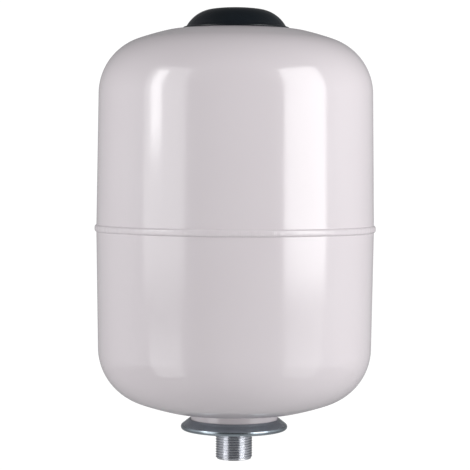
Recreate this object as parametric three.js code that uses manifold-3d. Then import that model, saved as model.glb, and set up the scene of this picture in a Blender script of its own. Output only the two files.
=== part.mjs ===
// An 8 litre expansion vessel for drinking and heating water, hanging with its connection down.
// Millimetres, +Z up. The origin is the middle of the threaded nipple's lower end, on the vessel's axis.

import * as THREE from 'three';
import * as BufferGeometryUtils from 'three/addons/utils/BufferGeometryUtils.js';
import Module from 'manifold-3d';

const wasm = await Module();
wasm.setup();

// The two drawn steel shells: dished ends, slightly tapered walls, and a lap under the seam.
const BODY_RADIUS = 100;
const SHOULDER_RADIUS = 98.65;
const KNUCKLE_RADIUS = 41.6;
const CROWN_RADIUS = 215;
const CROWN_EDGE = 52;
const LAND_RADIUS = 40;
const WALL = 1.2;
const GAP = 0.3;
const SEAM_Z = 167.2;
const UPPER_SHOULDER_Z = 263.6;
const LOWER_SHOULDER_Z = 81.3;
const LAP_HEIGHT = 10;
const SEAM_GROOVE = 1.8;
const BEAD_RADIUS = 101.4;
const BEAD_HEIGHT = 5.6;

// The pressed well in the crown and the gas valve that stands in it.
const WELL_RADIUS = 24;
const WELL_FLOOR_Z = 300.5;
const WELL_CORNER = 2.5;
const BOSS_RADIUS = 7;
const BOSS_FLANGE_RADIUS = 10;
const BOSS_FLANGE_HEIGHT = 3;
const BOSS_TOP_Z = 302.4;
const HEX_BOTTOM_Z = 304.4;
const HEX_HEIGHT = 2.8;
const HEX_ACROSS_FLATS = 11;
const SHANK_RADIUS = 4;
const SHANK_BOTTOM_Z = 294;
const STEM_TOP_Z = 313;
const STEM_THREAD_RADIUS = 3.85;
const STEM_THREAD_LENGTH = 4.8;
const STEM_NECK_RADIUS = 3.3;
const STEM_BORE_RADIUS = 2.65;

// The valve core inside the stem.
const CORE_TOP_Z = 312;
const CORE_PLUG_LENGTH = 3.5;
const CORE_PLUG_RADIUS = 2.5;
const CORE_BARREL_RADIUS = 1.75;
const CORE_BARREL_BOTTOM_Z = 300.9;
const CORE_LEDGE = 0.6;
const CORE_BORE_RADIUS = 1.3;
const PIN_RADIUS = 0.5;
const PIN_TOP_Z = 312.7;
const PIN_COLLAR_Z = 308.1;
const PIN_FOOT_DROP = 1.9;
const SPRING_COIL_RADIUS = 0.95;
const SPRING_WIRE_RADIUS = 0.17;
const SPRING_TURNS = 7;

// The dust cap.
const CAP_RADIUS = 5.3;
const CAP_BORE_RADIUS = 4.1;
const CAP_BOTTOM_Z = 307.5;
const CAP_TOP_Z = 315.5;
const CAP_CROWN = 1.2;

// The push-on cover over the valve.
const COVER_TOP_Z = 325.8;
const COVER_RADIUS = 38.3;
const COVER_WALL = 2;
const COVER_CROWN_RADIUS = 134;
const COVER_CROWN_EDGE = 18;
const COVER_SHOULDER_RADIUS = 24;
const COVER_SHOULDER_END = THREE.MathUtils.degToRad(58);
const COVER_LIP = 1.1;
const FINGER_COUNT = 6;
const FINGER_RADIUS = 23.4;
const FINGER_WALL = 1.8;
const FINGER_BOTTOM_Z = 303;
const FINGER_TOP_Z = 322.5;
const FINGER_SLOT = 5;

// The drawn neck, the rolled counterflange and the G 3/4 nipple.
const NECK_RADIUS = 31.6;
const NECK_LIP_RADIUS = 34;
const FLANGE_RIM_RADIUS = 38.7;
const FLANGE_BOTTOM_Z = 21.3;
const FLANGE_WALL = 1.5;
const FLANGE_ROLL = 2.2;
const FLANGE_LIP_RADIUS = 32;
const FLANGE_LIP_Z = 29.5;
const NIPPLE_RADIUS = 13.22;
const NIPPLE_BORE_RADIUS = 9.6;
const NIPPLE_CHAMFER = 1.5;
const WELD_LEG = 2.2;
const LINER_RADIUS = 27;
const LINER_WALL = 1.3;
const LINER_DISC = 1.5;

// The rubber bag and its clamped lip.
const BAG_RADIUS = 64;
const BAG_WALL = 2;
const BAG_TOP_Z = 260.5;
const BAG_BOTTOM_Z = 46.5;
const BAG_END_RADIUS = 46;
const BAG_LIP_RADIUS = 33.4;

// How finely round shapes are divided.
const SIDES = 32;
const SMALL_SIDES = 16;
const TINY_SIDES = 12;

const MATERIALS = {
  whitePaint: { color: '#e9e4e7', roughness: 0.16, metalness: 0 },
  blackPlastic: { color: '#1d2227', roughness: 0.42, metalness: 0 },
  zincPlate: { color: '#8b9098', roughness: 0.34, metalness: 0.95 },
  bareSteel: { color: '#8f9093', roughness: 0.45, metalness: 1 },
  nickelledBrass: { color: '#c9c3b4', roughness: 0.22, metalness: 1 },
  brass: { color: '#b8934c', roughness: 0.3, metalness: 1 },
  springSteel: { color: '#a9adb2', roughness: 0.3, metalness: 1 },
  rubber: { color: '#1b1b1c', roughness: 0.75, metalness: 0 },
  whiteSeal: { color: '#ece9e0', roughness: 0.5, metalness: 0 },
  liner: { color: '#e8e6dc', roughness: 0.45, metalness: 0 },
};

const vessel = new THREE.Group();

function addPiece(name, geometry, material) {
  const mesh = new THREE.Mesh(geometry, new THREE.MeshStandardMaterial(MATERIALS[material]));
  mesh.name = name;
  vessel.add(mesh);
}

// ---- Geometry helpers ----

// Turns an outline about the Z axis; x is the radius and y is the height.
function turned(outline, sides = SIDES) {
  const points = outline.filter((p, i) => i === 0 || p.distanceTo(outline[i - 1]) > 1e-4);
  if (THREE.ShapeUtils.area(points) < 0) points.reverse();
  const closes = points[0].distanceTo(points.at(-1)) > 1e-4 && (points[0].x > 0 || points.at(-1).x > 0);
  if (closes) points.push(points[0].clone());
  return new THREE.LatheGeometry(points, sides).rotateX(Math.PI / 2);
}

// Turns a plain outline given as [radius, height] corners.
function turnedCorners(corners, sides = SIDES) {
  return turned(corners.map(([r, z]) => new THREE.Vector2(r, z)), sides);
}

// A plain ring or bush.
function ring(innerRadius, outerRadius, bottom, top, sides = SMALL_SIDES) {
  const corners = [[innerRadius, bottom], [outerRadius, bottom], [outerRadius, top], [innerRadius, top]];
  return turnedCorners(corners, sides);
}

function toSolid(geometry) {
  const bare = geometry.clone();
  bare.deleteAttribute('normal');
  bare.deleteAttribute('uv');
  const merged = BufferGeometryUtils.mergeVertices(bare, 1e-4);
  const index = Array.from(merged.index.array);
  const triangles = [];
  for (let i = 0; i < index.length; i += 3) {
    const [a, b, c] = index.slice(i, i + 3);
    if (a !== b && b !== c && c !== a) triangles.push(a, b, c);
  }
  return new wasm.Manifold(new wasm.Mesh({
    numProp: 3,
    vertProperties: new Float32Array(merged.attributes.position.array),
    triVerts: new Uint32Array(triangles),
  }));
}

function toGeometry(solid) {
  const mesh = solid.getMesh();
  const geometry = new THREE.BufferGeometry();
  geometry.setAttribute('position', new THREE.BufferAttribute(mesh.vertProperties, 3));
  geometry.setIndex(new THREE.BufferAttribute(mesh.triVerts, 1));
  return geometry;
}

// ---- The shells ----

// Height of the centre of a dished end's crown, with `side` 1 for the top and -1 for the bottom.
function crownCentre(shoulderZ, side) {
  const knuckleCentre = SHOULDER_RADIUS - KNUCKLE_RADIUS;
  return shoulderZ - side * Math.sqrt((CROWN_RADIUS - KNUCKLE_RADIUS) ** 2 - knuckleCentre ** 2);
}

// The flat land in the middle of a dished end.
function landHeight(shoulderZ, side) {
  const rise = Math.sqrt(CROWN_RADIUS ** 2 - CROWN_EDGE ** 2);
  const slope = CROWN_EDGE / rise;
  return crownCentre(shoulderZ, side) + side * (rise + slope * (CROWN_EDGE - LAND_RADIUS) / 2);
}

// Draws a dished end from its shoulder to the edge of its land. `inset` moves it in by a wall.
function dishedEnd(path, shoulderZ, side, inset) {
  const knuckleCentre = SHOULDER_RADIUS - KNUCKLE_RADIUS;
  const meet = Math.asin(knuckleCentre / (CROWN_RADIUS - KNUCKLE_RADIUS));
  const joint = side * (Math.PI / 2 - meet);
  const edge = side * Math.acos(CROWN_EDGE / CROWN_RADIUS);
  const land = landHeight(shoulderZ, side) - side * inset;
  path.absarc(knuckleCentre, shoulderZ, KNUCKLE_RADIUS - inset, 0, joint, side < 0);
  path.absarc(0, crownCentre(shoulderZ, side), CROWN_RADIUS - inset, joint, edge, side < 0);
  path.quadraticCurveTo((CROWN_EDGE + LAND_RADIUS) / 2, land, LAND_RADIUS, land);
}

function upperFace(inset) {
  const land = landHeight(UPPER_SHOULDER_Z, 1) - inset;
  const floor = WELL_FLOOR_Z - inset;
  const wall = WELL_RADIUS + inset;
  const brink = WELL_CORNER - inset;
  const corner = WELL_CORNER + inset;
  const path = new THREE.Path();
  path.moveTo(BODY_RADIUS - inset, SEAM_Z + SEAM_GROOVE / 2);
  path.lineTo(SHOULDER_RADIUS - inset, UPPER_SHOULDER_Z);
  dishedEnd(path, UPPER_SHOULDER_Z, 1, inset);
  path.lineTo(wall + brink, land);
  path.quadraticCurveTo(wall, land, wall, land - brink);
  path.lineTo(wall, floor + corner);
  path.quadraticCurveTo(wall, floor, wall - corner, floor);
  path.lineTo(BOSS_RADIUS + GAP, floor);
  return path.getPoints(2);
}

// The height of a face that lies `depth` under the counterflange's sloping upper face, at a radius.
function underFlangeFace(depth, radius) {
  const rim = new THREE.Vector2(FLANGE_RIM_RADIUS - FLANGE_ROLL, FLANGE_BOTTOM_Z + FLANGE_ROLL);
  const toLip = new THREE.Vector2(FLANGE_LIP_RADIUS, FLANGE_LIP_Z).sub(rim);
  const tangent = toLip.angle() - Math.acos(FLANGE_ROLL / toLip.length());
  const offset = FLANGE_ROLL - depth;
  const along = (rim.x + offset * Math.cos(tangent) - radius) / Math.sin(tangent);
  return rim.y + offset * Math.sin(tangent) + along * Math.cos(tangent);
}

function lowerFace(inset) {
  const land = landHeight(LOWER_SHOULDER_Z, -1) + inset;
  const lap = BODY_RADIUS - WALL - GAP - inset;
  const neck = NECK_RADIUS - inset;
  const brink = 2 + inset;
  const depth = FLANGE_WALL + GAP + inset;
  const path = new THREE.Path();
  path.moveTo(lap, SEAM_Z + LAP_HEIGHT);
  path.lineTo(lap, SEAM_Z + inset / 2);
  path.lineTo(BODY_RADIUS - inset, SEAM_Z - SEAM_GROOVE / 2 - (inset ? 0.6 : 0));
  path.lineTo(SHOULDER_RADIUS - inset, LOWER_SHOULDER_Z);
  dishedEnd(path, LOWER_SHOULDER_Z, -1, inset);
  path.lineTo(neck + brink, land);
  path.quadraticCurveTo(neck, land, neck, land - brink);
  path.lineTo(neck, underFlangeFace(depth, neck));
  path.lineTo(NECK_LIP_RADIUS, underFlangeFace(depth, NECK_LIP_RADIUS));
  return path.getPoints(2);
}

// A sheet-metal shell between its outer face and its inner face.
function shell(face) {
  return turned([...face(0), ...face(WALL).reverse()]);
}

function seamWeld() {
  const base = BODY_RADIUS + GAP;
  const root = SEAM_GROOVE / 2 - GAP;
  const crest = BEAD_HEIGHT * 0.22;
  return turnedCorners([
    [base, SEAM_Z - BEAD_HEIGHT / 2],
    [BEAD_RADIUS, SEAM_Z - crest],
    [BEAD_RADIUS, SEAM_Z + crest],
    [base, SEAM_Z + BEAD_HEIGHT / 2],
    [base, SEAM_Z + root],
    [BODY_RADIUS - WALL / 2, SEAM_Z + root],
    [base, SEAM_Z - root / 2],
  ]);
}

// ---- The gas valve in the crown ----

function valveBoss() {
  const flangeTop = WELL_FLOOR_Z - WALL - GAP;
  const flangeBottom = flangeTop - BOSS_FLANGE_HEIGHT;
  const bore = SHANK_RADIUS + GAP;
  return turnedCorners([
    [bore, flangeBottom],
    [BOSS_FLANGE_RADIUS, flangeBottom],
    [BOSS_FLANGE_RADIUS, flangeTop],
    [BOSS_RADIUS, flangeTop],
    [BOSS_RADIUS, BOSS_TOP_Z],
    [bore, BOSS_TOP_Z],
  ], SMALL_SIDES);
}

function filletWeld(radius, corner, legOut, legUp) {
  return turnedCorners([[radius, corner], [radius + legOut, corner], [radius, corner + legUp]]);
}

function valveStem() {
  const hexTop = HEX_BOTTOM_Z + HEX_HEIGHT;
  const threadBottom = STEM_TOP_Z - STEM_THREAD_LENGTH;
  const hexSide = HEX_ACROSS_FLATS / 2 / Math.cos(Math.PI / 6);
  const hexagon = new THREE.CylinderGeometry(hexSide, hexSide, HEX_HEIGHT, 6).rotateX(Math.PI / 2);
  hexagon.translate(0, 0, HEX_BOTTOM_Z + HEX_HEIGHT / 2);
  const body = turnedCorners([
    [0, SHANK_BOTTOM_Z],
    [SHANK_RADIUS, SHANK_BOTTOM_Z],
    [SHANK_RADIUS, HEX_BOTTOM_Z + HEX_HEIGHT / 2],
    [STEM_NECK_RADIUS, hexTop - 0.5],
    [STEM_NECK_RADIUS, threadBottom],
    [STEM_THREAD_RADIUS, threadBottom + 0.4],
    [STEM_THREAD_RADIUS, STEM_TOP_Z - 0.4],
    [STEM_THREAD_RADIUS - 0.4, STEM_TOP_Z],
    [0, STEM_TOP_Z],
  ], SMALL_SIDES);
  const bore = turnedCorners([
    [0, SHANK_BOTTOM_Z - 1],
    [STEM_BORE_RADIUS - 0.8, SHANK_BOTTOM_Z - 1],
    [STEM_BORE_RADIUS - 0.8, SHANK_BOTTOM_Z + 2],
    [STEM_BORE_RADIUS, SHANK_BOTTOM_Z + 3],
    [STEM_BORE_RADIUS, STEM_TOP_Z + 1],
    [0, STEM_TOP_Z + 1],
  ], SMALL_SIDES);
  return toGeometry(toSolid(body).add(toSolid(hexagon)).subtract(toSolid(bore)));
}

function coreBarrel() {
  const plugBottom = CORE_TOP_Z - CORE_PLUG_LENGTH;
  const ledge = CORE_BARREL_BOTTOM_Z + CORE_LEDGE;
  const pinHole = PIN_RADIUS + 0.2;
  return turnedCorners([
    [pinHole, CORE_BARREL_BOTTOM_Z],
    [CORE_BARREL_RADIUS, CORE_BARREL_BOTTOM_Z],
    [CORE_BARREL_RADIUS, plugBottom],
    [CORE_PLUG_RADIUS, plugBottom],
    [CORE_PLUG_RADIUS, CORE_TOP_Z],
    [CORE_BORE_RADIUS, CORE_TOP_Z],
    [CORE_BORE_RADIUS, ledge],
    [pinHole, ledge],
  ], TINY_SIDES);
}

function corePin() {
  const foot = CORE_BARREL_BOTTOM_Z - PIN_FOOT_DROP;
  const footRadius = PIN_RADIUS + 0.5;
  const collar = SPRING_COIL_RADIUS + SPRING_WIRE_RADIUS;
  return turnedCorners([
    [0, foot],
    [footRadius, foot],
    [footRadius, foot + 0.4],
    [PIN_RADIUS, foot + 0.4],
    [PIN_RADIUS, PIN_COLLAR_Z],
    [collar, PIN_COLLAR_Z],
    [collar, PIN_COLLAR_Z + 0.5],
    [PIN_RADIUS, PIN_COLLAR_Z + 0.9],
    [PIN_RADIUS, PIN_TOP_Z],
    [0, PIN_TOP_Z],
  ], TINY_SIDES);
}

function coreSpring() {
  const seat = 0.1 + SPRING_WIRE_RADIUS;
  const bottom = CORE_BARREL_BOTTOM_Z + CORE_LEDGE + seat;
  const top = PIN_COLLAR_Z - seat;
  class Helix extends THREE.Curve {
    getPoint(t, target = new THREE.Vector3()) {
      const angle = t * SPRING_TURNS * 2 * Math.PI;
      const height = bottom + t * (top - bottom);
      return target.set(SPRING_COIL_RADIUS * Math.cos(angle), SPRING_COIL_RADIUS * Math.sin(angle), height);
    }
  }
  const wire = new THREE.Shape();
  wire.absarc(0, 0, SPRING_WIRE_RADIUS, 0, 2 * Math.PI);
  const steps = SPRING_TURNS * 8;
  return new THREE.ExtrudeGeometry(wire, { steps, curveSegments: 2, extrudePath: new Helix() });
}

function dustCap() {
  const inner = CAP_TOP_Z - CAP_CROWN;
  return turnedCorners([
    [CAP_BORE_RADIUS, CAP_BOTTOM_Z],
    [CAP_RADIUS, CAP_BOTTOM_Z],
    [CAP_RADIUS, CAP_TOP_Z - 0.8],
    [CAP_RADIUS - 0.8, CAP_TOP_Z],
    [0, CAP_TOP_Z],
    [0, inner],
    [CAP_BORE_RADIUS, inner],
  ], SMALL_SIDES);
}

function capSeal() {
  const top = CAP_TOP_Z - CAP_CROWN - 0.3;
  const bottom = STEM_TOP_Z + 0.3;
  return turnedCorners([[0, bottom], [3.7, bottom], [3.7, top], [0, top]], SMALL_SIDES);
}

// ---- The cover ----

function coverFace(inset) {
  const crownCentreZ = COVER_TOP_Z - COVER_CROWN_RADIUS;
  const crownEnd = Math.asin(COVER_CROWN_EDGE / COVER_CROWN_RADIUS);
  const reach = COVER_CROWN_RADIUS - COVER_SHOULDER_RADIUS;
  const shoulderX = reach * Math.sin(crownEnd);
  const shoulderZ = crownCentreZ + reach * Math.cos(crownEnd);
  const path = new THREE.Path();
  path.absarc(0, crownCentreZ, COVER_CROWN_RADIUS - inset, Math.PI / 2, Math.PI / 2 - crownEnd, true);
  const shoulder = COVER_SHOULDER_RADIUS - inset;
  const shoulderEnd = Math.PI / 2 - COVER_SHOULDER_END;
  path.absarc(shoulderX, shoulderZ, shoulder, Math.PI / 2 - crownEnd, shoulderEnd, true);
  return path.getPoints(2);
}

function topCover() {
  const seat = landHeight(UPPER_SHOULDER_Z, 1) + GAP;
  const outer = coverFace(0);
  outer.push(new THREE.Vector2(COVER_RADIUS - 1.2, seat + COVER_LIP + 0.1));
  outer.push(new THREE.Vector2(COVER_RADIUS, seat + COVER_LIP));
  outer.push(new THREE.Vector2(COVER_RADIUS, seat));
  const inner = coverFace(COVER_WALL);
  inner.push(new THREE.Vector2(inner.at(-1).x, seat));
  const dome = toSolid(turned([...outer, ...inner.reverse()]));
  const fingerInside = FINGER_RADIUS - FINGER_WALL;
  const sleeve = toSolid(ring(fingerInside, FINGER_RADIUS, FINGER_BOTTOM_Z, FINGER_TOP_Z, SIDES));
  const cutters = [];
  const uncutTop = 4;
  for (let i = 0; i < FINGER_COUNT; i += 1) {
    const height = FINGER_TOP_Z - FINGER_BOTTOM_Z - uncutTop;
    const slot = new THREE.BoxGeometry(2 * FINGER_WALL + 4, FINGER_SLOT, height);
    slot.translate(FINGER_RADIUS, 0, FINGER_BOTTOM_Z + height / 2 - 0.5);
    slot.rotateZ((i + 0.5) * 2 * Math.PI / FINGER_COUNT);
    cutters.push(toSolid(slot));
  }
  const fingers = cutters.reduce((rest, cutter) => rest.subtract(cutter), sleeve);
  return toGeometry(dome.add(fingers));
}

// ---- The connection ----

function counterflange() {
  const rimX = FLANGE_RIM_RADIUS - FLANGE_ROLL;
  const rimZ = FLANGE_BOTTOM_Z + FLANGE_ROLL;
  const toLip = new THREE.Vector2(FLANGE_LIP_RADIUS - rimX, FLANGE_LIP_Z - rimZ);
  const tangent = toLip.angle() - Math.acos(FLANGE_ROLL / toLip.length());
  const hole = NIPPLE_RADIUS + GAP;
  const outline = new THREE.Path();
  outline.absarc(rimX, rimZ, FLANGE_ROLL, -Math.PI / 2, tangent, false);
  outline.lineTo(FLANGE_LIP_RADIUS, FLANGE_LIP_Z);
  outline.lineTo(FLANGE_LIP_RADIUS, underFlangeFace(FLANGE_WALL, FLANGE_LIP_RADIUS));
  outline.absarc(rimX, rimZ, FLANGE_ROLL - FLANGE_WALL, tangent, -Math.PI / 2, true);
  outline.lineTo(hole, FLANGE_BOTTOM_Z + FLANGE_WALL);
  outline.lineTo(hole, FLANGE_BOTTOM_Z);
  return turned(outline.getPoints(2));
}

function nipple() {
  const top = FLANGE_BOTTOM_Z + FLANGE_WALL;
  return turnedCorners([
    [NIPPLE_BORE_RADIUS, 0],
    [NIPPLE_RADIUS - NIPPLE_CHAMFER, 0],
    [NIPPLE_RADIUS, NIPPLE_CHAMFER],
    [NIPPLE_RADIUS, top],
    [NIPPLE_BORE_RADIUS, top],
  ]);
}

function flangeLiner() {
  const bottom = FLANGE_BOTTOM_Z + FLANGE_WALL + GAP;
  const outer = NIPPLE_BORE_RADIUS - GAP;
  const inner = outer - LINER_WALL;
  return turnedCorners([
    [inner, 0.8],
    [outer, 0.8],
    [outer, bottom],
    [LINER_RADIUS, bottom],
    [LINER_RADIUS, bottom + LINER_DISC],
    [inner, bottom + LINER_DISC],
  ]);
}

function bagFace(inset) {
  const lipTop = (radius) => underFlangeFace(FLANGE_WALL + WALL + 2 * GAP, radius);
  const lipBottom = FLANGE_BOTTOM_Z + FLANGE_WALL + GAP;
  const neck = NECK_RADIUS - WALL - GAP - inset;
  const end = BAG_END_RADIUS - inset;
  const path = new THREE.Path();
  if (inset) {
    path.moveTo(neck, lipBottom);
  } else {
    path.moveTo(BAG_LIP_RADIUS, lipBottom);
    path.lineTo(BAG_LIP_RADIUS, lipTop(BAG_LIP_RADIUS));
    path.lineTo(neck, lipTop(neck));
  }
  path.lineTo(neck, BAG_BOTTOM_Z - 4 + inset);
  path.quadraticCurveTo(neck, BAG_BOTTOM_Z + 4 + inset, neck + 8, BAG_BOTTOM_Z + 12 + inset);
  path.quadraticCurveTo(BAG_RADIUS - inset, BAG_BOTTOM_Z + 30, BAG_RADIUS - inset, BAG_BOTTOM_Z + 62);
  path.lineTo(BAG_RADIUS - inset, BAG_TOP_Z - BAG_END_RADIUS);
  path.absarc(BAG_RADIUS - BAG_END_RADIUS, BAG_TOP_Z - BAG_END_RADIUS, end, 0, Math.PI / 2, false);
  path.lineTo(0, BAG_TOP_Z - inset);
  return path.getPoints(2);
}

function bladder() {
  return turned([...bagFace(0), ...bagFace(BAG_WALL).reverse()]);
}

addPiece('upper_shell', shell(upperFace), 'whitePaint');
addPiece('lower_shell', shell(lowerFace), 'whitePaint');
addPiece('seam_weld', seamWeld(), 'whitePaint');

addPiece('valve_boss', valveBoss(), 'bareSteel');
const bossWeldZ = WELL_FLOOR_Z + GAP;
addPiece('boss_weld', filletWeld(BOSS_RADIUS + GAP, bossWeldZ, 2.2, 1.4), 'whitePaint');
addPiece('stem_seal', ring(SHANK_RADIUS + GAP, 6.2, BOSS_TOP_Z + GAP, HEX_BOTTOM_Z - GAP), 'rubber');
addPiece('valve_stem', valveStem(), 'nickelledBrass');
addPiece('core_barrel', coreBarrel(), 'brass');
const sealTop = CORE_TOP_Z - CORE_PLUG_LENGTH - 2;
const coreSeal = ring(CORE_BARREL_RADIUS + 0.1, STEM_BORE_RADIUS - 0.15, sealTop - 2, sealTop, TINY_SIDES);
addPiece('core_seal', coreSeal, 'whiteSeal');
addPiece('core_pin', corePin(), 'brass');
const washerBottom = CORE_BARREL_BOTTOM_Z - 1.4;
const pinWasher = ring(PIN_RADIUS + 0.15, 1.6, washerBottom, washerBottom + 1.2, TINY_SIDES);
addPiece('pin_washer', pinWasher, 'rubber');
addPiece('core_spring', coreSpring(), 'springSteel');
addPiece('dust_cap', dustCap(), 'blackPlastic');
addPiece('dust_cap_seal', capSeal(), 'rubber');
addPiece('top_cover', topCover(), 'blackPlastic');

addPiece('counterflange', counterflange(), 'zincPlate');
addPiece('nipple', nipple(), 'zincPlate');
const nippleWeldZ = FLANGE_BOTTOM_Z - GAP;
addPiece('nipple_weld', filletWeld(NIPPLE_RADIUS + GAP, nippleWeldZ, WELD_LEG, -WELD_LEG), 'zincPlate');
addPiece('flange_liner', flangeLiner(), 'liner');
addPiece('bladder', bladder(), 'rubber');

export default vessel;
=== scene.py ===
"""An 8 litre expansion vessel with its connection down: fine surfaces, materials, light and camera."""

import math
import random

import bpy
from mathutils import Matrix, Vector


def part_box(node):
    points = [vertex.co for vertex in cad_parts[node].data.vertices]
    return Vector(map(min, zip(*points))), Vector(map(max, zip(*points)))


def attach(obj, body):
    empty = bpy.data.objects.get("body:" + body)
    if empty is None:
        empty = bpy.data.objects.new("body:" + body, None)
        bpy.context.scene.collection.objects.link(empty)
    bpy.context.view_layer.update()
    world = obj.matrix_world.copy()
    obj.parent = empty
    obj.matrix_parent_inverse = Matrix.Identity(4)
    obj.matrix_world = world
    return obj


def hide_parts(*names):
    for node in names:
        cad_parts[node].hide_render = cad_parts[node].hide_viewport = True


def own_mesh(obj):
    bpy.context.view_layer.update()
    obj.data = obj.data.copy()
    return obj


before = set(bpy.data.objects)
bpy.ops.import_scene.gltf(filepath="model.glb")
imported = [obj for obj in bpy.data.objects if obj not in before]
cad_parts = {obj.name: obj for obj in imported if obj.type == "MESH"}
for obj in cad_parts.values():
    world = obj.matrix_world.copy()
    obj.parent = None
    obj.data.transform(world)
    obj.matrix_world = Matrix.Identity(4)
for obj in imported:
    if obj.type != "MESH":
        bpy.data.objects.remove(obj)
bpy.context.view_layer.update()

MM = 0.001
FULL_TURN = 2 * math.pi
QUARTER_TURN = math.pi / 2
# Two points nearer than this, in metres, are one point.
SAME_PLACE = 1e-7


# ---- Sizes read from the frame ----

def low(node):
    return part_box(node)[0].z


def high(node):
    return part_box(node)[1].z


def reach(node):
    """The largest radius of a round node."""
    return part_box(node)[1].x


BODY_RADIUS = reach("upper_shell")
BEAD_RADIUS = reach("seam_weld")
SEAM_Z = (low("seam_weld") + high("seam_weld")) / 2
BEAD_HALF = (high("seam_weld") - low("seam_weld")) / 2
LAND_TOP = high("upper_shell")
LAP_TOP = high("lower_shell")
GROOVE = low("upper_shell") - SEAM_Z

# ---- Sizes of the pressed shells ----

WALL = 1.2 * MM
SHOULDER_RADIUS = 98.65 * MM
KNUCKLE = 41.6 * MM
CROWN = 215 * MM
CROWN_EDGE = 52 * MM
LAND_RADIUS = 40 * MM
WELL_RADIUS = 24 * MM
WELL_CORNER = 2.5 * MM
WELL_HOLE = 7.1 * MM
NECK_RADIUS = 31.6 * MM
NECK_BLEND = 2 * MM
JOGGLE = 1.5 * MM
JOGGLE_LEAN = 0.4 * MM
LIP_BEND = 1 * MM


# ---- Outlines: lists of (radius, height) ----

def arc(centre, radius, start, end, steps):
    """Points of an arc, with its angles in radians from the outward direction."""
    angles = [start + (end - start) * i / steps for i in range(steps + 1)]
    return [(centre[0] + radius * math.cos(a), centre[1] + radius * math.sin(a)) for a in angles]


def curve(start, control, end, steps=8):
    """Points of a quadratic curve."""
    points = []
    for i in range(steps + 1):
        t = i / steps
        weighted = list(zip(((1 - t) ** 2, 2 * t * (1 - t), t * t), (start, control, end)))
        points.append(tuple(sum(w * p[k] for w, p in weighted) for k in (0, 1)))
    return points


# The largest share of a side that the rounding of one corner takes.
LARGEST_CUT = 0.45


def rounded(corners, radius, steps=4):
    """A closed outline whose corners are rounded by a radius, or less on short sides."""
    points = []
    for i, corner in enumerate(corners):
        here = Vector(corner)
        before = Vector(corners[i - 1])
        after = Vector(corners[(i + 1) % len(corners)])
        if here.x < SAME_PLACE:
            points.append(tuple(here))
            continue
        cut = min(radius, (before - here).length * LARGEST_CUT, (after - here).length * LARGEST_CUT)
        start = here + (before - here).normalized() * cut
        end = here + (after - here).normalized() * cut
        points.extend(curve(tuple(start), tuple(here), tuple(end), steps))
    return points


def ring_corners(node, bore):
    """The section of a plain ring or disc that fills its CAD node's height and radius."""
    bottom, top, edge = low(node), high(node), reach(node)
    return [(bore, bottom), (edge, bottom), (edge, top), (bore, top)]


# ---- Mesh makers ----

def make_object(name, vertices, faces, node_body, material, slot, replaced, sharp=40):
    """A smooth mesh that rides on a body in place of CAD nodes. Edges over `sharp` degrees stay sharp."""
    mesh = bpy.data.meshes.new(name)
    mesh.from_pydata(vertices, [], faces)
    mesh.validate()
    mesh.shade_smooth()
    mesh.set_sharp_from_angle(angle=math.radians(sharp))
    mesh.materials.append(material)
    piece = bpy.data.objects.new(name, mesh)
    bpy.context.scene.collection.objects.link(piece)
    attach(piece, node_body)
    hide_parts(*replaced)
    return piece


def revolve(outline, sides, vary=None):
    """Vertices and faces of a closed outline turned about Z.

    `vary` gives a point's new radius and height from its angle, radius and height.
    """
    rings = [p for i, p in enumerate(outline) if i == 0 or math.dist(p, outline[i - 1]) > SAME_PLACE]
    if math.dist(rings[0], rings[-1]) < SAME_PLACE:
        rings.pop()
    vertices = []
    starts = []
    for r, z in rings:
        starts.append(len(vertices))
        if r < SAME_PLACE:
            vertices.append((0, 0, z))
            continue
        for i in range(sides):
            angle = FULL_TURN * i / sides
            radius, height = vary(angle, r, z) if vary else (r, z)
            vertices.append((radius * math.cos(angle), radius * math.sin(angle), height))
    faces = []
    count = len(rings)
    for j in range(count):
        k = (j + 1) % count
        on_axis = (rings[j][0] < SAME_PLACE, rings[k][0] < SAME_PLACE)
        if all(on_axis):
            continue
        for i in range(sides):
            n = (i + 1) % sides
            a, b = starts[j] + i, starts[j] + n
            c, d = starts[k] + n, starts[k] + i
            if on_axis[0]:
                faces.append((starts[j], c, d))
            elif on_axis[1]:
                faces.append((a, b, starts[k]))
            else:
                faces.append((a, b, c, d))
    return vertices, faces


def facing_out(outline):
    """The outline turned the way that makes its faces point out."""
    area = sum(a[0] * b[1] - b[0] * a[1] for a, b in zip(outline, outline[1:] + outline[:1]))
    return outline if area > 0 else outline[::-1]


def turned(name, outline, body, material, slot, sides, sharp=40):
    """A turned piece that stands for the CAD node of its name."""
    vertices, faces = revolve(facing_out(outline), sides)
    make_object(name + "_fine", vertices, faces, body, material, slot, (name,), sharp)


def join_parts(parts):
    """Joins lists of (vertices, faces) into one."""
    vertices, faces = [], []
    for part_vertices, part_faces in parts:
        base = len(vertices)
        vertices.extend(part_vertices)
        faces.extend(tuple(base + i for i in face) for face in part_faces)
    return vertices, faces


def tube_faces(steps, count):
    """Faces of a tube of `steps` + 1 rings, each of `count` vertices, with both ends closed."""
    last = steps * count
    faces = [tuple(range(count)), tuple(range(last, last + count))[::-1]]
    for i in range(steps):
        for j in range(count):
            k = (j + 1) % count
            faces.append((i * count + k, i * count + j, (i + 1) * count + j, (i + 1) * count + k))
    return faces


# The thread's wave goes this far past its limits and is cut off there, which flattens crests and roots.
THREAD_OVERDRIVE = 1.7


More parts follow.
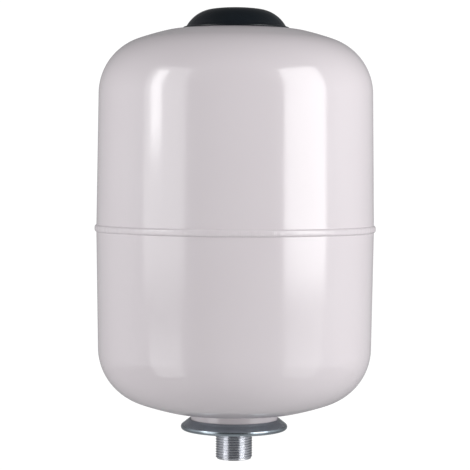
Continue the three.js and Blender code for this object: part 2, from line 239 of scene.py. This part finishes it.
def threaded(top, bottom, pitch, outer, depth, limit, sides=160, rows_per_turn=12):
    """The outside of a right-hand screw thread, as rows that follow its helix.

    `limit` gives the largest radius at a height.
    """
    step = pitch / rows_per_turn
    rows = int((top - bottom) / step) + rows_per_turn + 2
    mean = outer - depth / 2
    vertices = []
    for j in range(rows):
        for i in range(sides):
            angle = FULL_TURN * i / sides
            height = bottom + (j - rows_per_turn) * step + pitch * i / sides
            phase = (j / rows_per_turn) % 1
            wave = max(-1.0, min(1.0, THREAD_OVERDRIVE * math.sin(FULL_TURN * phase)))
            z = min(max(height, bottom), top)
            radius = min(mean + wave * depth / 2, limit(z))
            vertices.append((radius * math.cos(angle), radius * math.sin(angle), z))
    faces = []
    for j in range(rows - 1):
        for i in range(sides):
            wraps = i == sides - 1
            n = 0 if wraps else i + 1
            up = rows_per_turn if wraps else 0
            a, b = j * sides + i, (j + up) * sides + n
            c, d = (j + 1 + up) * sides + n, (j + 1) * sides + i
            if j + 1 + up < rows:
                faces.append((a, b, c, d))
    return vertices, faces


# ---- Materials ----

PAINT_SHADES = ((0.718, 0.665, 0.69), (0.738, 0.687, 0.711))
PAINT_IOR = 1.62
PLASTIC_IOR = 1.43


def new_material(name):
    """A material with its nodes, links and shader."""
    material = bpy.data.materials.new(name)
    material.use_nodes = True
    nodes = material.node_tree.nodes
    return material, nodes, material.node_tree.links, nodes["Principled BSDF"]


def noise(nodes, links, scale, detail=3.0, roughness=0.5, stretch=None):
    """A noise texture in the piece's own coordinates."""
    place = nodes.new("ShaderNodeTexCoord")
    texture = nodes.new("ShaderNodeTexNoise")
    texture.inputs["Scale"].default_value = scale
    texture.inputs["Detail"].default_value = detail
    texture.inputs["Roughness"].default_value = roughness
    source = place.outputs["Object"]
    if stretch:
        mapping = nodes.new("ShaderNodeMapping")
        mapping.inputs["Scale"].default_value = stretch
        links.new(source, mapping.inputs["Vector"])
        source = mapping.outputs["Vector"]
    links.new(source, texture.inputs["Vector"])
    return texture.outputs["Fac"]


def spread(nodes, links, value, lowest, highest, start=0.3, end=0.7):
    """Maps a value that runs from `start` to `end` to another range."""
    node = nodes.new("ShaderNodeMapRange")
    node.inputs["From Min"].default_value = start
    node.inputs["From Max"].default_value = end
    node.inputs["To Min"].default_value = lowest
    node.inputs["To Max"].default_value = highest
    links.new(value, node.inputs["Value"])
    return node.outputs["Result"]


def two_tone(nodes, links, value, first, second):
    """A colour that varies between two by a noise value."""
    node = nodes.new("ShaderNodeMix")
    node.data_type = "RGBA"
    node.inputs["A"].default_value = (*first, 1)
    node.inputs["B"].default_value = (*second, 1)
    links.new(spread(nodes, links, value, 0, 1), node.inputs["Factor"])
    return node.outputs["Result"]


def bump(nodes, links, shader, value, distance):
    """Fine relief, `distance` high."""
    node = nodes.new("ShaderNodeBump")
    node.inputs["Distance"].default_value = distance
    links.new(value, node.inputs["Height"])
    links.new(node.outputs["Normal"], shader.inputs["Normal"])


def paint_material():
    """Gloss powder coat: white with a faint pink cast, and the slight orange peel of sprayed paint."""
    material, nodes, links, shader = new_material("gloss_white_paint")
    patches = noise(nodes, links, 9, 2)
    links.new(two_tone(nodes, links, patches, *PAINT_SHADES), shader.inputs["Base Color"])
    links.new(spread(nodes, links, noise(nodes, links, 60, 4), 0.11, 0.16), shader.inputs["Roughness"])
    shader.inputs["IOR"].default_value = PAINT_IOR
    bump(nodes, links, shader, noise(nodes, links, 420, 2), 0.004 * MM)
    return material


def plastic_material(name, colour, rough):
    """Moulded plastic, with a roughness between two values."""
    material, nodes, links, shader = new_material(name)
    darker = tuple(c * 0.8 for c in colour)
    links.new(two_tone(nodes, links, noise(nodes, links, 40, 3), darker, colour), shader.inputs["Base Color"])
    links.new(spread(nodes, links, noise(nodes, links, 120, 3), *rough), shader.inputs["Roughness"])
    shader.inputs["IOR"].default_value = PLASTIC_IOR
    bump(nodes, links, shader, noise(nodes, links, 900, 2), 0.01 * MM)
    return material


def metal_material(name, colour, rough, stretch=(1, 1, 1), depth=0.006 * MM):
    """Mottled metal with a fine grain, `depth` deep. `stretch` packs the pattern closer along an axis."""
    material, nodes, links, shader = new_material(name)
    darker = tuple(c * 0.85 for c in colour)
    mottle = noise(nodes, links, 70, 5, 0.6, stretch)
    sheen = noise(nodes, links, 160, 4, 0.6, stretch)
    grain = noise(nodes, links, 500, 3, 0.6, stretch)
    links.new(two_tone(nodes, links, mottle, darker, colour), shader.inputs["Base Color"])
    links.new(spread(nodes, links, sheen, *rough), shader.inputs["Roughness"])
    shader.inputs["Metallic"].default_value = 1.0
    bump(nodes, links, shader, grain, depth)
    return material


def rubber_material(name, colour):
    """Matt rubber with paler patches."""
    material, nodes, links, shader = new_material(name)
    lighter = tuple(c * 1.6 for c in colour)
    patches = noise(nodes, links, 90, 4)
    links.new(two_tone(nodes, links, patches, colour, lighter), shader.inputs["Base Color"])
    links.new(spread(nodes, links, noise(nodes, links, 200, 3), 0.62, 0.8), shader.inputs["Roughness"])
    bump(nodes, links, shader, noise(nodes, links, 1200, 3), 0.02 * MM)
    return material


PAINT = paint_material()
COVER_PLASTIC = plastic_material("black_cover_plastic", (0.004, 0.0075, 0.0115), (0.26, 0.34))
CAP_PLASTIC = plastic_material("black_cap_plastic", (0.012, 0.012, 0.013), (0.4, 0.5))
LINER_PLASTIC = plastic_material("natural_polypropylene", (0.76, 0.74, 0.68), (0.35, 0.45))
SEAL_PLASTIC = plastic_material("white_seal", (0.8, 0.78, 0.74), (0.4, 0.5))
ZINC = metal_material("dark_zinc_plate", (0.36, 0.41, 0.45), (0.16, 0.24))
ZINC_THREAD = metal_material("zinc_thread", (0.62, 0.63, 0.67), (0.18, 0.26), (1, 1, 5), 0.002 * MM)
STEEL = metal_material("turned_steel", (0.42, 0.42, 0.43), (0.3, 0.42))
NICKEL = metal_material("nickelled_brass", (0.66, 0.62, 0.54), (0.16, 0.24))
BRASS = metal_material("turned_brass", (0.62, 0.43, 0.17), (0.22, 0.32))
SPRING_WIRE = metal_material("spring_wire", (0.55, 0.56, 0.58), (0.2, 0.3))
SEAL_RUBBER = rubber_material("seal_rubber", (0.016, 0.016, 0.016))
BAG_RUBBER = rubber_material("bag_rubber", (0.02, 0.02, 0.02))


# ---- The shells ----

def land_rise():
    """How far the flat land stands from the crown's centre."""
    rise = math.sqrt(CROWN ** 2 - CROWN_EDGE ** 2)
    return rise + CROWN_EDGE / rise * (CROWN_EDGE - LAND_RADIUS) / 2


# How far the knuckle's centre stands from the crown's centre, and the land from the shoulder.
KNUCKLE_RISE = math.sqrt((CROWN - KNUCKLE) ** 2 - (SHOULDER_RADIUS - KNUCKLE) ** 2)
DISH_DEPTH = land_rise() - KNUCKLE_RISE


def dished_end(land, side, inset):
    """From the shoulder to the edge of the flat land, on the outer face or `inset` under it.

    `side` is 1 for the upper end and -1 for the lower end.
    """
    shoulder = land - side * DISH_DEPTH
    centre = SHOULDER_RADIUS - KNUCKLE
    meet = math.asin(centre / (CROWN - KNUCKLE))
    joint = side * (QUARTER_TURN - meet)
    edge = side * math.acos(CROWN_EDGE / CROWN)
    height = land - side * inset
    points = arc((centre, shoulder), KNUCKLE - inset, 0, joint, 40)
    points += arc((0, shoulder - side * KNUCKLE_RISE), CROWN - inset, joint, edge, 16)
    middle = ((CROWN_EDGE + LAND_RADIUS) / 2, height)
    points += curve(points[-1], middle, (LAND_RADIUS, height), 10)
    return points


GAP = 0.3 * MM
SHOULDER_SPAN = 182.3 * MM
LOWER_LAND = LAND_TOP - SHOULDER_SPAN - 2 * DISH_DEPTH
WELL_FLOOR = low("boss_weld") - GAP
FLANGE_BOTTOM = low("counterflange")
FLANGE_WALL = 1.5 * MM
FLANGE_ROLL = 2.2 * MM
FLANGE_RIM = reach("counterflange")
FLANGE_LIP = (32 * MM, high("counterflange"))
ROLL_CENTRE = (FLANGE_RIM - FLANGE_ROLL, FLANGE_BOTTOM + FLANGE_ROLL)
NECK_LIP_RADIUS = 34 * MM


def roll_tangent():
    """The angle at which the counterflange's sloping face leaves its rolled rim."""
    x, z = FLANGE_LIP[0] - ROLL_CENTRE[0], FLANGE_LIP[1] - ROLL_CENTRE[1]
    return math.atan2(z, x) - math.acos(FLANGE_ROLL / math.hypot(x, z))


def under_flange(depth, radius):
    """The height of a face that lies `depth` under the counterflange's sloping face."""
    tangent = roll_tangent()
    offset = FLANGE_ROLL - depth
    along = (ROLL_CENTRE[0] + offset * math.cos(tangent) - radius) / math.sin(tangent)
    return ROLL_CENTRE[1] + offset * math.sin(tangent) + along * math.cos(tangent)


def upper_face(inset):
    """The upper shell's outer face, or the one `inset` under it, from the seam to the valve's hole."""
    land = LAND_TOP - inset
    floor = WELL_FLOOR - inset
    wall = WELL_RADIUS + inset
    brink = WELL_CORNER - inset
    corner = WELL_CORNER + inset
    points = [(BODY_RADIUS - inset, SEAM_Z + GROOVE)]
    points += dished_end(LAND_TOP, 1, inset)
    points += curve((wall + brink, land), (wall, land), (wall, land - brink))
    points += curve((wall, floor + corner), (wall, floor), (wall - corner, floor))
    points.append((WELL_HOLE, floor))
    return points


def lower_face(inset):
    """The lower shell's outer face, or the one `inset` under it, from the lap to the neck's lip."""
    lap = BODY_RADIUS - WALL - GAP - inset
    neck = NECK_RADIUS - inset
    blend = NECK_BLEND + inset
    land = LOWER_LAND + inset
    depth = FLANGE_WALL + GAP + inset
    slope = [(radius, under_flange(depth, radius)) for radius in (neck, neck + LIP_BEND, NECK_LIP_RADIUS)]
    points = [(lap, LAP_TOP), (lap, SEAM_Z + JOGGLE)]
    joggle_end = (BODY_RADIUS - inset, SEAM_Z - JOGGLE)
    points += curve((lap, SEAM_Z + inset / 2), (lap, SEAM_Z - JOGGLE_LEAN), joggle_end)
    points += dished_end(LOWER_LAND, -1, inset)
    points += curve((neck + blend, land), (neck, land), (neck, land - blend))
    points += [(neck, slope[0][1] + LIP_BEND)]
    points += curve((neck, slope[0][1] + 0.9 * LIP_BEND), slope[0], slope[1], 5)
    points.append(slope[2])
    return points


def make_shells():
    for node, face in (("upper_shell", upper_face), ("lower_shell", lower_face)):
        outline = face(0) + face(WALL)[::-1]
        turned(node, outline, "tank", PAINT, "body_paint", sides=384, sharp=50)


def random_waves(rng, counts):
    """Waves that close on themselves round the vessel, as (turns, size, phase)."""
    return [(turns, rng.uniform(0.1, 0.3), rng.uniform(0, FULL_TURN)) for turns in counts]


def wander(angle, waves):
    """The sum of the waves at an angle, between about -1 and 1."""
    return sum(size * math.sin(turns * angle + phase) for turns, size, phase in waves)


def make_seam():
    """The painted weld bead: a rounded ridge with fine ripples, whose height, width and place wander."""
    rng = random.Random(7)
    slow = random_waves(rng, (3, 5, 8, 13, 21, 34))
    swell = random_waves(rng, (7, 19, 47, 71, 103, 139))
    ripples, sides_per_ripple = 430, 8
    ripple_height, swell_height, drift = 0.03 * MM, 0.09 * MM, 0.1 * MM
    ripple_bow = 2.2
    narrowing = 0.05
    steps = 24
    foot = BODY_RADIUS - 0.2 * MM
    height = BEAD_RADIUS - foot - 0.15 * MM
    root, root_half = foot - 0.5 * MM, BEAD_HALF * 0.9
    section = []
    for i in range(steps + 1):
        across = -1 + 2 * i / steps
        section.append((foot + height * (1 - across ** 4), SEAM_Z + across * BEAD_HALF))
    section += [(root, SEAM_Z + root_half), (root, SEAM_Z - root_half)]

    def vary(angle, radius, z):
        across = (z - SEAM_Z) / BEAD_HALF
        crest = max(0.0, 1 - across ** 2)
        chevron = math.sin(ripples * angle + ripple_bow * across ** 2)
        rise = crest * (ripple_height * chevron + swell_height * wander(angle, swell))
        width = 1 - narrowing * (1 + wander(angle, slow))
        return min(radius + rise, BEAD_RADIUS), SEAM_Z + (z - SEAM_Z) * width + drift * wander(angle, slow)

    vertices, faces = revolve(facing_out(section), ripples * sides_per_ripple, vary)
    make_object("seam_weld_fine", vertices, faces, "tank", PAINT, "body_paint", ("seam_weld",), 60)


# ---- The connection ----

def make_counterflange():
    """Pressed plate whose edge is rolled back over the neck's lip."""
    hole = reach("nipple") + 0.1 * MM
    tangent = roll_tangent()
    lip_x, lip_z = FLANGE_LIP
    outline = [(hole, FLANGE_BOTTOM)]
    outline += arc(ROLL_CENTRE, FLANGE_ROLL, -QUARTER_TURN, tangent, 28)
    outline += curve((lip_x + 0.7 * MM, lip_z - 0.3 * MM), FLANGE_LIP, (lip_x, lip_z - 0.6 * MM), 5)
    outline += [(lip_x, under_flange(FLANGE_WALL, lip_x))]
    outline += arc(ROLL_CENTRE, FLANGE_ROLL - FLANGE_WALL, tangent, -QUARTER_TURN, 16)
    outline += [(hole, FLANGE_BOTTOM + FLANGE_WALL)]
    turned("counterflange", outline, "tank", ZINC, "zinc_plate", sides=256)


THREAD_PITCH = 25.4 / 14 * MM
THREAD_DEPTH = 0.9 * MM
THREAD_RUNOUT = 0.9
NIPPLE_CHAMFER = 1.5 * MM
NIPPLE_BORE = 9.6 * MM


def make_nipple():
    """A G 3/4 male thread, 14 turns to the inch, chamfered at its end, with a plain bore and its weld."""
    outer = reach("nipple")
    bottom, top = low("nipple"), high("nipple")
    thread_top = FLANGE_BOTTOM - 0.6 * MM
    bore, bore_chamfer = NIPPLE_BORE, 0.5 * MM
    sunk = 0.02 * MM

    def limit(z):
        chamfer = outer - NIPPLE_CHAMFER + (z - bottom)
        runout = outer - THREAD_DEPTH + max(0.0, thread_top - z) * THREAD_RUNOUT
        return min(outer, chamfer, runout)

    thread = threaded(thread_top, bottom, THREAD_PITCH, outer, THREAD_DEPTH, limit)
    core = outer - THREAD_DEPTH - sunk
    body = [(bore, bottom + bore_chamfer), (bore + bore_chamfer, bottom)]
    body += [(outer - NIPPLE_CHAMFER - sunk, bottom), (core, bottom + 0.3 * MM), (core, top), (bore, top)]
    parts = join_parts([thread, revolve(facing_out(body), 160)])
    make_object("nipple_fine", *parts, "tank", ZINC_THREAD, "zinc_thread", ("nipple",), 60)
    weld, weld_bottom = reach("nipple_weld"), low("nipple_weld")
    root = outer - 1.4 * MM
    middle = (outer + 0.5 * MM, FLANGE_BOTTOM - 0.5 * MM)
    fillet = [(root, FLANGE_BOTTOM + 0.1 * MM), (weld, FLANGE_BOTTOM + 0.1 * MM)]
    fillet += curve((weld, FLANGE_BOTTOM - 0.1 * MM), middle, (outer - 1.0 * MM, weld_bottom), 8)
    fillet.append((root, weld_bottom))
    turned("nipple_weld", fillet, "tank", ZINC, "zinc_plate", sides=160)


def make_liner():
    """The plastic sleeve in the nipple's bore, with its disc over the counterflange."""
    inner, outer, edge = 8.0 * MM, 9.3 * MM, reach("flange_liner")
    bottom, top = low("flange_liner"), high("flange_liner")
    disc = top - 1.5 * MM
    corners = [(inner, bottom), (outer, bottom), (outer, disc), (edge, disc), (edge, top), (inner, top)]
    turned("flange_liner", rounded(corners, 0.4 * MM), "tank", LINER_PLASTIC, "liner_plastic", sides=128)


def make_bladder():
    """The rubber bag, with a moulded neck and the lip that is clamped under the counterflange."""
    wall = 2 * MM
    radius = reach("bladder")
    top, bottom = high("bladder"), low("bladder")
    waist, waist_half = bottom + 23.4 * MM, 4 * MM
    flare_out, flare_up = 8 * MM, 12 * MM
    bulge, widest = waist + 30 * MM, waist + 62 * MM
    end = 46 * MM
    neck = NECK_RADIUS - WALL - GAP
    depth = FLANGE_WALL + WALL + 2 * GAP
    lip = 33.4 * MM

    def face(inset):
        if inset:
            points = [(neck - inset, bottom)]
        else:
            points = [(lip, bottom), (lip, under_flange(depth, lip)), (neck, under_flange(depth, neck))]
        side = neck - inset
        flare = (side + flare_out, waist + flare_up)
        points += curve((side, waist - waist_half), (side, waist + waist_half), flare)
        wide = radius - inset
        points += curve(points[-1], (wide, bulge), (wide, widest), 16)
        points += arc((radius - end, top - end), end - inset, 0, QUARTER_TURN, 20)
        points.append((0, top - inset))
        return points

    turned("bladder", face(0) + face(wall)[::-1], "tank", BAG_RUBBER, "bag_rubber", sides=128, sharp=50)


# ---- The gas valve ----

BOSS_BORE = 4.3 * MM


def make_boss():
    """The boss in the well, the weld round it and the sealing washer under the stem."""
    top, bottom, edge = high("valve_boss"), low("valve_boss"), reach("valve_boss")
    flange_top = WELL_FLOOR - WALL - GAP
    bore, body = BOSS_BORE, 7 * MM
    corners = [(bore, bottom), (edge, bottom), (edge, flange_top)]
    corners += [(body, flange_top), (body, top), (bore, top)]
    turned("valve_boss", rounded(corners, 0.3 * MM), "tank", STEEL, "bare_steel", sides=96)
    weld, weld_top = reach("boss_weld"), high("boss_weld")
    root = body - 0.1 * MM
    middle = (body + 0.6 * MM, WELL_FLOOR + 0.7 * MM)
    fillet = [(root, WELL_FLOOR - 0.1 * MM), (weld, WELL_FLOOR - 0.1 * MM)]
    fillet += curve((weld, WELL_FLOOR + 0.1 * MM), middle, (body + 0.1 * MM, weld_top), 6)
    fillet.append((root, weld_top))
    turned("boss_weld", fillet, "tank", PAINT, "body_paint", sides=128)
    ring = ring_corners("stem_seal", BOSS_BORE)
    turned("stem_seal", rounded(ring, 0.5 * MM), "tank", SEAL_RUBBER, "seal_rubber", sides=96)


STEM_PITCH = 0.794 * MM
STEM_THREAD_DEPTH = 0.45 * MM
STEM_CHAMFER = 0.4 * MM


def make_stem():
    """A nickelled valve stem with a hexagon, chamfered all round, and a fine thread for the dust cap."""
    bottom, top = low("valve_stem"), high("valve_stem")
    hex_bottom = high("stem_seal") + GAP
    hex_top = hex_bottom + 2.8 * MM
    flats = reach("valve_stem")
    shank, neck, thread, bore = 4 * MM, 3.3 * MM, 3.85 * MM, 2.65 * MM
    thread_bottom = top - 4.8 * MM
    foot_chamfer = 0.3 * MM
    outline = [(bore, bottom), (shank - foot_chamfer, bottom), (shank, bottom + foot_chamfer)]
    outline += [(shank, hex_bottom + 1 * MM), (neck, hex_top - 0.5 * MM), (neck, top), (bore, top)]
    body = revolve(facing_out(outline), 96)

    def limit(z):
        end = thread - STEM_CHAMFER
        return min(thread, end + (top - z), end + (z - thread_bottom))

    screw = threaded(top, thread_bottom, STEM_PITCH, thread, STEM_THREAD_DEPTH, limit, 96, 8)
    parts = join_parts([body, screw, hexagon(flats, hex_bottom, hex_top)])
    make_object("valve_stem_fine", *parts, "tank", NICKEL, "nickelled_brass", ("valve_stem",), 30)


def hexagon(flats, bottom, top):
    """A hexagon, `flats` from its axis to each flat, with its corners chamfered at both ends."""
    sixth = FULL_TURN / 6
    sides = 6 * 24
    chamfer = 0.35 * MM
    corner = 1.12 * flats
    end = corner - 1.4 * chamfer
    levels = ((bottom, end), (bottom + chamfer, corner), (top - chamfer, corner), (top, end))
    vertices = []
    for height, reach_out in levels:
        for i in range(sides):
            angle = FULL_TURN * i / sides
            from_flat = (angle + sixth / 2) % sixth - sixth / 2
            radius = min(flats / math.cos(from_flat), reach_out)
            vertices.append((radius * math.cos(angle), radius * math.sin(angle), height))
    faces = [tuple(range(sides))[::-1], tuple(range(3 * sides, 4 * sides))]
    for j in range(3):
        for i in range(sides):
            n = (i + 1) % sides
            faces.append((j * sides + i, j * sides + n, (j + 1) * sides + n, (j + 1) * sides + i))
    return vertices, faces


def make_core():
    """The barrel with its plug, the sealing ring, and the pin that a gauge presses, with its washer."""
    for node, corners, material, slot, body in (
        ("core_barrel", core_barrel_corners(), BRASS, "brass", "tank"),
        ("core_seal", ring_corners("core_seal", 1.85 * MM), SEAL_PLASTIC, "white_seal", "tank"),
        ("core_pin", core_pin_corners(), BRASS, "brass", "core"),
        ("pin_washer", ring_corners("pin_washer", 0.65 * MM), SEAL_RUBBER, "seal_rubber", "core"),
    ):
        turned(node, rounded(corners, 0.15 * MM, 3), body, material, slot, sides=48)


def core_barrel_corners():
    """The barrel, its wider plug, and the ledge inside that the spring stands on."""
    bottom, top, plug = low("core_barrel"), high("core_barrel"), reach("core_barrel")
    barrel, bore, hole = 1.75 * MM, 1.3 * MM, 0.7 * MM
    plug_bottom = top - 3.5 * MM
    ledge = bottom + 0.6 * MM
    return [(hole, bottom), (barrel, bottom), (barrel, plug_bottom), (plug, plug_bottom),
            (plug, top), (bore, top), (bore, ledge), (hole, ledge)]


def core_pin_corners():
    """The pin, with the foot that carries its washer and the collar that the spring pushes up."""
    bottom, top, collar = low("core_pin"), high("core_pin"), reach("core_pin")
    shaft, foot = 0.5 * MM, 1.0 * MM
    foot_top = bottom + 0.4 * MM
    collar_bottom = top - 4.6 * MM
    return [(0, bottom), (foot, bottom), (foot, foot_top), (shaft, foot_top),
            (shaft, collar_bottom), (collar, collar_bottom), (collar, collar_bottom + 0.5 * MM),
            (shaft, collar_bottom + 0.9 * MM), (shaft, top), (0, top)]


def make_spring():
    """The core's return spring, a round wire on a helix. The real spring shortens as the pin is pressed."""
    lowest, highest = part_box("core_spring")
    wire, turns, sides, steps = 0.17 * MM, 7, 10, 24
    coil = highest.x - wire
    bottom, top = lowest.z + wire, highest.z - wire
    vertices = []
    for i in range(turns * steps + 1):
        angle = FULL_TURN * i / steps
        height = bottom + (top - bottom) * i / (turns * steps)
        for j in range(sides):
            around = FULL_TURN * j / sides
            radius = coil + wire * math.cos(around)
            z = height + wire * math.sin(around)
            vertices.append((radius * math.cos(angle), radius * math.sin(angle), z))
    faces = tube_faces(turns * steps, sides)
    spring = make_object("core_spring_fine", vertices, faces, "tank", SPRING_WIRE, "spring_steel",
                         ("core_spring",), 60)
    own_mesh(spring)


def make_dust_cap():
    """A moulded screw cap with grip ribs round its skirt and a plain rounded top, and its sealing disc."""
    bottom, top, radius = low("dust_cap"), high("dust_cap"), reach("dust_cap")
    bore = 4.1 * MM
    ceiling = top - 1.2 * MM
    ribs, sides_per_rib, groove = 28, 8, 0.22 * MM
    edge, crown_round = 0.2 * MM, 1.1 * MM

    def vary(angle, r, z):
        gripped = r > radius - 0.05 * MM and bottom + 0.7 * MM < z < top - 1.4 * MM
        return (r - groove * (0.5 - 0.5 * math.cos(ribs * angle)), z) if gripped else (r, z)

    skirt = [(radius, bottom + edge + (top - bottom - 1.4 * MM) * i / 12) for i in range(13)]
    outline = [(bore, bottom), (radius - edge, bottom)] + skirt
    outline += curve((radius, top - crown_round), (radius, top), (radius - crown_round, top), 6)
    outline += [(0, top), (0, ceiling), (bore, ceiling)]
    vertices, faces = revolve(facing_out(outline), ribs * sides_per_rib, vary)
    make_object("dust_cap_fine", vertices, faces, "cap", CAP_PLASTIC, "cap_plastic", ("dust_cap",), 40)
    disc = ring_corners("dust_cap_seal", 0)
    turned("dust_cap_seal", rounded(disc, 0.2 * MM), "cap_seal", SEAL_RUBBER, "seal_rubber", sides=64)


# ---- The cover ----

COVER_WALL = 2 * MM
COVER_CROWN = 134 * MM
COVER_CROWN_EDGE = 18 * MM
COVER_SHOULDER = 24 * MM
COVER_SHOULDER_END = math.radians(58)
FINGERS = 6


def cover_face(inset):
    """The cover's crown and shoulder arcs, from the axis outwards."""
    centre = high("top_cover") - COVER_CROWN
    crown_end = math.asin(COVER_CROWN_EDGE / COVER_CROWN)
    offset = COVER_CROWN - COVER_SHOULDER
    shoulder = (offset * math.sin(crown_end), centre + offset * math.cos(crown_end))
    right = QUARTER_TURN
    points = arc((0, centre), COVER_CROWN - inset, right, right - crown_end, 10)
    points += arc(shoulder, COVER_SHOULDER - inset, right - crown_end, right - COVER_SHOULDER_END, 24)
    return points


def make_cover():
    """The moulded cover with its turned-out lip, and the six sprung fingers that grip the well."""
    seat = LAND_TOP + GAP
    rim = reach("top_cover")
    lip = 1.5 * MM
    outline = cover_face(0)
    shoulder_end = outline[-1]
    outline += curve(shoulder_end, (rim - 2.4 * MM, seat + lip + 0.2 * MM), (rim - 0.8 * MM, seat + lip), 12)
    outline += arc((rim - lip / 2, seat + lip / 2), lip / 2, QUARTER_TURN, -QUARTER_TURN, 8)
    inner = cover_face(COVER_WALL)
    outline += [(inner[-1][0], seat)] + inner[::-1]
    parts = [revolve(facing_out(outline), 256)]
    finger_bottom, finger_top = low("top_cover"), high("top_cover") - 3.5 * MM
    outer, wall = 23.4 * MM, 1.8 * MM
    half_slot = 2.5 * MM / outer
    sweep = FULL_TURN / FINGERS - 2 * half_slot
    for k in range(FINGERS):
        start = FULL_TURN * (k - 0.5) / FINGERS + half_slot
        parts.append(finger(outer - wall, outer, finger_bottom, finger_top, start, sweep))
    make_object("top_cover_fine", *join_parts(parts), "cover", COVER_PLASTIC, "cover_plastic",
                ("top_cover",), 40)


def finger(inner, outer, bottom, top, start, sweep):
    """One curved finger, tapered a little at its lower end."""
    taper, taper_top = 0.4 * MM, bottom + 1.2 * MM
    section = [(inner, bottom), (outer - taper, bottom), (outer, taper_top), (outer, top), (inner, top)]
    steps = 16
    vertices = []
    for i in range(steps + 1):
        angle = start + sweep * i / steps
        vertices.extend((r * math.cos(angle), r * math.sin(angle), z) for r, z in section)
    return vertices, tube_faces(steps, len(section))


# ---- Stage, light and camera ----

CAMERA_DISTANCE = 1.3
CAMERA_HEIGHT = 213.5 * MM
CAMERA_PITCH = -0.0394
CAMERA_ROLL = -0.0056
CAMERA_LENS = 137.9
CAMERA_SIDE = -0.36 * MM


def make_camera():
    """The photograph's view, a little above the vessel's middle."""
    data = bpy.data.cameras.new("camera")
    data.lens = CAMERA_LENS
    data.sensor_width = 36
    data.clip_start = 0.05
    data.clip_end = 50
    camera = bpy.data.objects.new("camera", data)
    bpy.context.scene.collection.objects.link(camera)
    camera.location = (CAMERA_SIDE, -CAMERA_DISTANCE, CAMERA_HEIGHT)
    camera.rotation_euler = (QUARTER_TURN + CAMERA_PITCH, CAMERA_ROLL, 0)
    bpy.context.scene.camera = camera


def make_floor():
    """A plain pale round floor, well below the hanging vessel."""
    radius, height, sides = 3.0, -0.9, 96
    angles = [FULL_TURN * i / sides for i in range(sides)]
    ring = [(radius * math.cos(angle), radius * math.sin(angle), height) for angle in angles]
    mesh = bpy.data.meshes.new("floor")
    mesh.from_pydata(ring, [], [tuple(range(sides))])
    material, nodes, links, shader = new_material("pale_floor")
    patches = noise(nodes, links, 6, 2)
    shades = two_tone(nodes, links, patches, (0.88, 0.88, 0.88), (0.92, 0.92, 0.92))
    links.new(shades, shader.inputs["Base Color"])
    shader.inputs["Roughness"].default_value = 0.8
    shader.inputs["Emission Color"].default_value = (0.97, 0.98, 1, 1)
    shader.inputs["Emission Strength"].default_value = 0.04
    mesh.materials.append(material)
    floor = bpy.data.objects.new("floor", mesh)
    bpy.context.scene.collection.objects.link(floor)


def softbox(name, azimuth, distance, bottom, top, width, power):
    """A soft light that faces the vessel. Azimuth 0 is the camera's side, and 90 is to its right."""
    data = bpy.data.lights.new(name, "AREA")
    data.shape = "RECTANGLE"
    data.size = width
    data.size_y = top - bottom
    data.energy = power
    light = bpy.data.objects.new(name, data)
    bpy.context.scene.collection.objects.link(light)
    angle = math.radians(azimuth)
    middle = (bottom + top) / 2
    light.location = (distance * math.sin(angle), -distance * math.cos(angle), middle)
    target = Vector((0, 0, middle))
    light.rotation_euler = (target - light.location).to_track_quat("-Z", "Y").to_euler()
    light.visible_camera = False


def product(nodes, links, first, second):
    """Two values multiplied."""
    node = nodes.new("ShaderNodeMath")
    node.operation = "MULTIPLY"
    links.new(first, node.inputs[0])
    links.new(second, node.inputs[1])
    return node.outputs["Value"]


def make_world():
    """A grey surround for light, and plain white where the camera sees past the vessel.

    The surround is dimmer overhead, in a cone towards the camera's side, and behind the vessel.
    """
    world = bpy.data.worlds.new("surround")
    bpy.context.scene.world = world
    world.use_nodes = True
    nodes, links = world.node_tree.nodes, world.node_tree.links
    backdrop = nodes["Background"]
    backdrop.inputs["Color"].default_value = (0.97, 0.98, 1.0, 1)
    direction = nodes.new("ShaderNodeTexCoord")
    split = nodes.new("ShaderNodeSeparateXYZ")
    links.new(direction.outputs["Generated"], split.inputs["Vector"])
    height = spread(nodes, links, split.outputs["Z"], 0.85, 0.16, 0.0, 0.9)
    front = spread(nodes, links, split.outputs["Y"], 0.15, 1.0, -0.85, -0.65)
    back = spread(nodes, links, split.outputs["Y"], 1.0, 0.35, 0.1, 0.7)
    links.new(product(nodes, links, product(nodes, links, height, front), back), backdrop.inputs["Strength"])
    seen = nodes.new("ShaderNodeBackground")
    seen.inputs["Color"].default_value = (1, 1, 1, 1)
    seen.inputs["Strength"].default_value = 1.05
    path = nodes.new("ShaderNodeLightPath")
    mix = nodes.new("ShaderNodeMixShader")
    links.new(path.outputs["Is Camera Ray"], mix.inputs["Fac"])
    links.new(backdrop.outputs["Background"], mix.inputs[1])
    links.new(seen.outputs["Background"], mix.inputs[2])
    links.new(mix.outputs["Shader"], nodes["World Output"].inputs["Surface"])


def make_lights():
    softbox("right_softbox", 57.5, 1.25, 0.02, 1.25, 0.86, 13.6)
    softbox("left_softbox", -58.5, 1.25, 0.02, 1.25, 0.86, 5.2)
    softbox("left_core", -66, 1.2, 0.26, 1.0, 0.22, 2.5)
    softbox("low_right_softbox", 57.5, 1.25, -0.8, -0.05, 0.75, 1.6)
    softbox("low_left_softbox", -57, 1.25, -0.8, -0.05, 0.65, 2.1)


make_camera()
make_floor()
make_world()
make_lights()
make_shells()
make_seam()
make_cover()
make_counterflange()
make_nipple()
make_liner()
make_bladder()
make_boss()
make_stem()
make_core()
make_dust_cap()
make_spring()

bpy.context.scene.view_settings.view_transform = "Standard"
